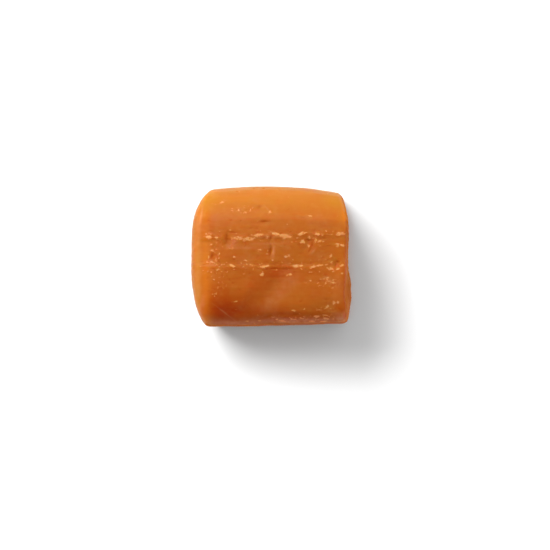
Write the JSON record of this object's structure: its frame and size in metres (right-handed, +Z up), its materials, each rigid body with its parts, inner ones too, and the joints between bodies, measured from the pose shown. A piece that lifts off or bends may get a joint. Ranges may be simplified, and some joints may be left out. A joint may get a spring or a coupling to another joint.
{
  "type": "caramel fudge piece",
  "caption": "Unwrapped piece of caramel fudge cut from a drawn rope, with rounded shoulders, two broken ridges along the top, one domed end and one flat cut end.",
  "frame": {"origin": "middle of the flat underside, at the height the piece rests on", "axes": "+X along the rope the piece was cut from, from the domed end to the flat cut end; +Y across it, towards the broader shoulder; +Z up"},
  "size_m": [0.0252, 0.022, 0.0124],
  "materials": {
    "fudge": "satin"
  },
  "bodies": {
    "root": {"fudge": "fudge"}
  },
  "joints": []
}
